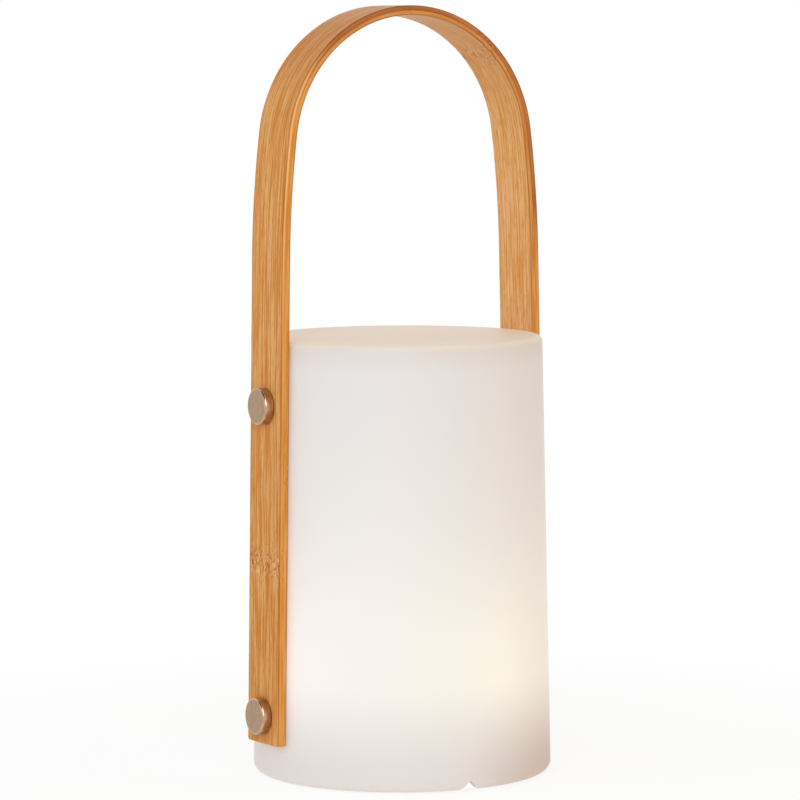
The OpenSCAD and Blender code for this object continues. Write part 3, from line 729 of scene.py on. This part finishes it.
cap_back = strap_t + washer_t
cap_face = cap_back + cap_h
cap_outline = [(0, -shank_depth), (shank_d / 2, -shank_depth), (shank_d / 2, cap_back),
               (cap_d / 2, cap_back), (cap_d / 2, cap_face), (0, cap_face)]
caps = turned(cap_outline, 96, [((cap_d / 2, cap_back), back_round, 3),
                                ((cap_d / 2, cap_face), face_round, 7)])
brushed_layer = caps.faces.layers.float.new("brushed")
for face in caps.faces:
    face[brushed_layer] = 1.0 if face.calc_center_median().z > cap_face - 0.5 * same_place else 0.0
print("one cap has", len(caps.faces), "faces,", sum(f[brushed_layer] > 0 for f in caps.faces), "brushed")

# %% [markdown]
# ### Four caps
# The four are alike, so one is copied to each place and the pattern is thrown away. A cap's own axis
# is upright, and the legs lean with the wall, so each copy is laid over, moved out to the wall and,
# on the left leg, turned half round the lamp.

# %% Four caps
cap_heights = (35.5 * MM, 195.5 * MM)


def on_leg(side, height):
    """The place on the strap's inner face at a height: local Z points out of the lamp."""
    lean = Matrix.Rotation(math.pi / 2 - wall_lean, 4, "Y")
    wall_x = shade_r - (height - shade_low.z) * math.tan(wall_lean)
    half_turn = Matrix.Rotation(0 if side > 0 else math.pi, 4, "Z")
    return half_turn @ Matrix.Translation((wall_x, side * strap_back, height)) @ lean


pattern = caps.verts[:] + caps.edges[:] + caps.faces[:]
for side in (-1, 1):
    for cap_z in cap_heights:
        copy = bmesh.ops.duplicate(caps, geom=pattern)["geom"]
        bmesh.ops.transform(caps, matrix=on_leg(side, cap_z),
                            verts=[part for part in copy if isinstance(part, bmesh.types.BMVert)])
bmesh.ops.delete(caps, geom=[part for part in pattern if isinstance(part, bmesh.types.BMVert)],
                 context="VERTS")
print("caps reach", round(max(v.co.x for v in caps.verts) / MM, 2), "of", round(cap_reach / MM, 2), "mm")

# %% [markdown]
# ### Nickel
# Nickel is a warm grey and clouds a little with handling. The side and the rounded edge are polished.
# The face is brushed: it is rougher, and fine scratches run one way across it. Which is which can't be
# told from a point's place, so the face was marked on the mesh, and the finish reads that mark.

# %% Nickel, and the caps as a piece
def nickel():
    finish = new_finish("nickel")
    place = finish.place()
    brushed = finish.node("Attribute", {}, output="Fac", attribute_name="brushed")
    across_face, up_face = finish.split(place)[1:]
    scratch = finish.noise(finish.scaled(finish.join(across_face, up_face, 0.0), 400, 9000, 1), detail=2)
    cloud = finish.noise(finish.scaled(place, 320, 320, 320), detail=3)
    metal = finish.mix(brushed, tone(198, 166, 138), tone(176, 148, 120))
    metal = finish.mix(finish.ramp(cloud, 0.35, 0.7, 0.0, 0.4), metal, tone(150, 122, 98))
    rough = finish.maths("MULTIPLY_ADD", brushed, 0.12, 0.22)
    return finish.done(Base_Color=metal, Metallic=1.0, Roughness=rough,
                       Normal=finish.bump(finish.maths("MULTIPLY", scratch, brushed), 0.008 * MM, 0.4))


lamp_piece("turned_caps", caps, nickel(), "cap_screws")

# %% [markdown]
# ## Rubber, white plastic and steel
# The rest is made of ordinary stock. Rubber is nearly black, matt and slightly dusty. Moulded plastic
# has the fine sparkle of a spark-eroded tool. Zinc plated screws are bluish grey with faint blotches.
# These pieces are right as measured, so they keep their meshes and only get a finish.

# %% Two kinds of stock
def moulded(name, colour, low_rough, high_rough, texture=0.02):
    """Plastic or rubber from a spark-eroded tool. The texture is this many millimetres deep."""
    finish = new_finish(name)
    place = finish.place()
    cloud = finish.noise(finish.scaled(place, 60, 60, 60), detail=3)
    spark = finish.noise(finish.scaled(place, 2600, 2600, 2600), detail=2)
    darker = tuple(0.86 * c for c in colour[:3]) + (1.0,)
    return finish.done(Base_Color=finish.mix(finish.ramp(cloud, 0.3, 0.7), darker, colour),
                       Roughness=finish.ramp(spark, 0.3, 0.7, low_rough, high_rough),
                       Normal=finish.bump(spark, texture * MM, 0.5))


def plated(name, bright, dull, rough):
    """Zinc plated or stamped metal with faint blotches."""
    finish = new_finish(name)
    blotch = finish.noise(finish.scaled(finish.place(), 420, 420, 420), detail=4)
    return finish.done(Base_Color=finish.mix(finish.ramp(blotch, 0.3, 0.7), dull, bright), Metallic=1.0,
                       Roughness=finish.ramp(blotch, 0.3, 0.7, rough + 0.12, rough))


print("rubber, plastic and plated steel can be made")

# %% Dress the plain pieces
dress(moulded("dark_rubber", tone(46, 46, 48), 0.62, 0.80, 0.05), "cap_washers", "base_gasket",
      "rubber_feet")
dress(moulded("white_plastic", tone(226, 225, 221), 0.42, 0.56), "base_tray", "power_button",
      "unit_cover", "mounting_ring", "saddle_washers")
dress(moulded("black_plastic", tone(38, 38, 40), 0.40, 0.55), "switch_plunger", "board_parts",
      "battery_holder")
dress(plated("steel", tone(196, 198, 202), tone(150, 153, 160), 0.24), "inner_washers", "inner_nuts",
      "base_screws", "cover_screws", "board_screws", "led_board_screws", "charging_socket",
      "battery_tabs", "tact_switch")
dress(moulded("cell_wrap", tone(62, 118, 170), 0.22, 0.30, 0.005), "battery_cells")
dress(moulded("red_wire", tone(176, 40, 34), 0.35, 0.45), "battery_leads")
dress(moulded("white_wire", tone(222, 221, 216), 0.35, 0.45), "led_leads")
dress(moulded("emitter", tone(246, 214, 104), 0.30, 0.40), "led_emitters")

# %% [markdown]
# ## Circuit boards and lenses
# A board is glass fibre under a glossy solder mask, which shows the copper tracks as slightly lighter
# lines. Real tracks could be drawn one by one, but nobody can see them in a closed lamp, so a grid of
# cells stands for them. The lenses are clear and polished.

# %% Boards and lenses
def board(name, mask, track):
    finish = new_finish(name)
    cells = finish.node("TexBrick", {"Vector": finish.scaled(finish.place(), 300, 300, 300),
                                     "Scale": 1.0, "Mortar Size": 0.08}, output="Fac")
    return finish.done(Base_Color=finish.mix(cells, mask, track), Roughness=0.30, Coat_Weight=0.3,
                       Normal=finish.bump(cells, 0.02 * MM, 0.4))


def clear_lens():
    finish = new_finish("clear_lens")
    ripple = finish.noise(finish.scaled(finish.place(), 500, 500, 500), detail=1)
    return finish.done(Base_Color=tone(240, 246, 250), Roughness=finish.ramp(ripple, 0.3, 0.7, 0.03, 0.08),
                       Transmission_Weight=0.9, IOR=1.49)


dress(board("green_board", tone(34, 110, 66), tone(62, 140, 88)), "control_board")
dress(board("white_board", tone(232, 231, 226), tone(214, 213, 206)), "led_board")
dress(clear_lens(), "led_lenses")
